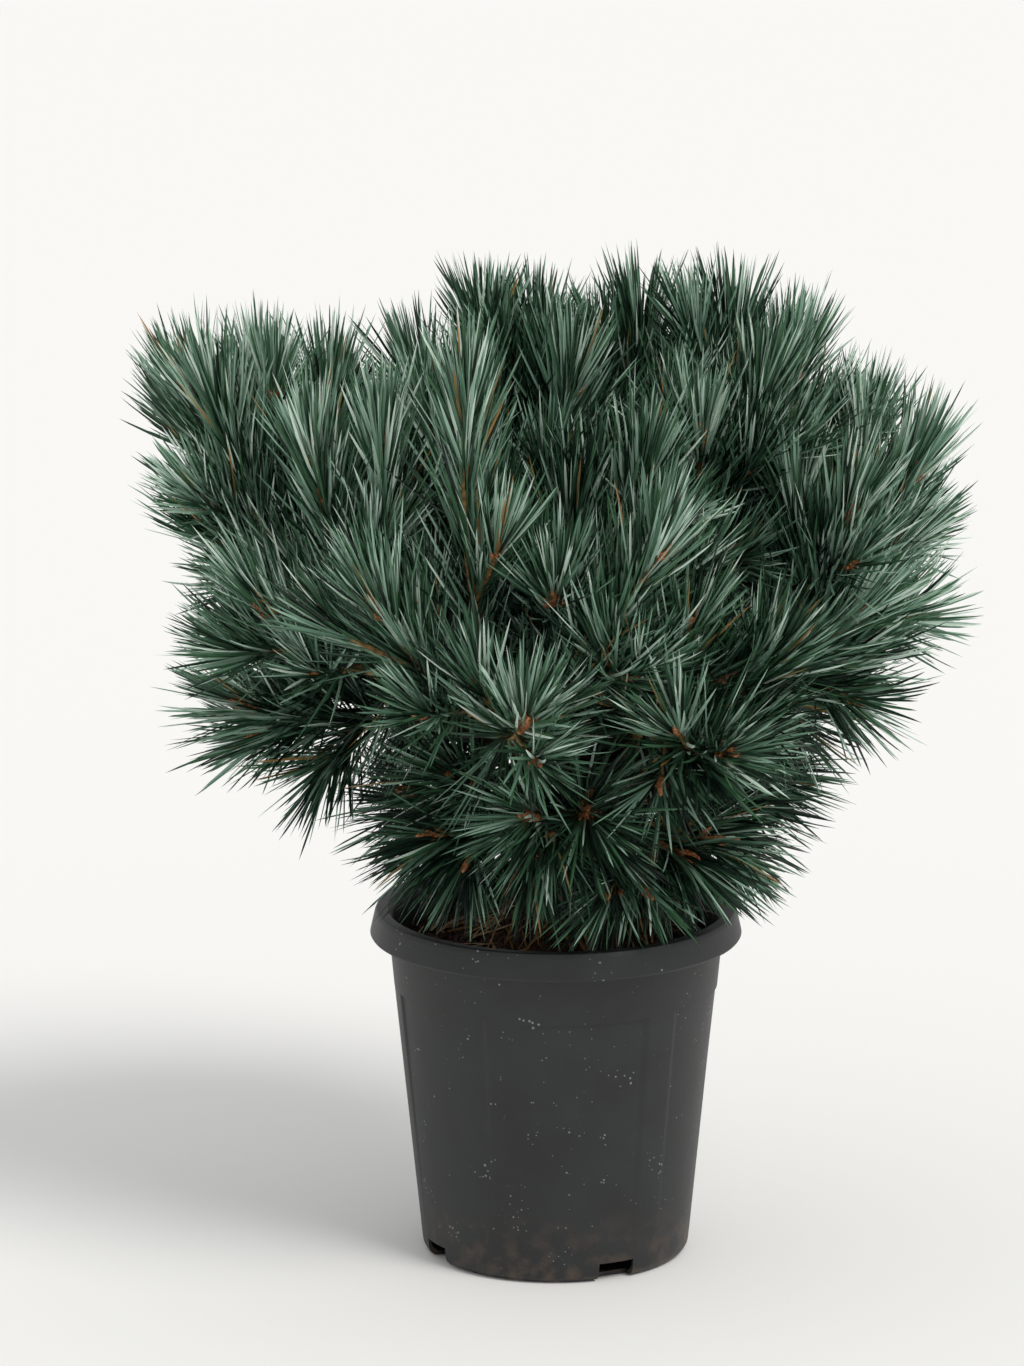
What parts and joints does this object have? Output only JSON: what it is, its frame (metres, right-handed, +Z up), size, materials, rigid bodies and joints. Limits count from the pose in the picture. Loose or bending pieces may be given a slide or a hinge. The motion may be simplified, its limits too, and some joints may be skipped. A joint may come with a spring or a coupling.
{
  "type": "potted pine shrub",
  "caption": "Young bushy pine with long blue-green needles on upright shoots, standing in a round tapered nursery pot filled with peat.",
  "frame": {"origin": "centre of the pot's flat underside", "axes": "+Z up along the pot's axis, front of the plant towards -Y, +X to the right seen from the front"},
  "size_m": [0.4879, 0.4392, 0.5831],
  "materials": {
    "black_plastic": "moulded recycled polypropylene, satin with a fine grain, dusty and soiled near the foot",
    "peat": "moist crumbly peat with fibres and fallen needles",
    "bark": "rough tan brown bark with leaf scars",
    "pine_needles": "waxy blue-green needles with a soft sheen"
  },
  "bodies": {
    "root": {"pot": "black_plastic", "peat": "peat", "trunk": "bark", "bough_front": "bark", "bough_front_right": "bark", "bough_centre_front": "bark", "bough_left_front": "bark", "bough_left": "bark", "bough_left_low": "bark", "bough_crown": "bark", "bough_crown_right": "bark", "bough_right_top": "bark", "bough_right": "bark", "bough_right_low": "bark", "bough_low_left": "bark", "bough_low_front": "bark", "bough_low_right": "bark", "bough_right_under": "bark", "bough_back": "bark", "bough_back_left": "bark", "bough_back_right": "bark", "bough_back_low": "bark", "needles_front": "pine_needles", "needles_front_right": "pine_needles", "needles_centre_front": "pine_needles", "needles_left_front": "pine_needles", "needles_left": "pine_needles", "needles_left_low": "pine_needles", "needles_crown": "pine_needles", "needles_crown_right": "pine_needles", "needles_right_top": "pine_needles", "needles_right": "pine_needles", "needles_right_low": "pine_needles", "needles_low_left": "pine_needles", "needles_low_front": "pine_needles", "needles_low_right": "pine_needles", "needles_right_under": "pine_needles", "needles_back": "pine_needles", "needles_back_left": "pine_needles", "needles_back_right": "pine_needles", "needles_back_low": "pine_needles"}
  },
  "joints": []
}
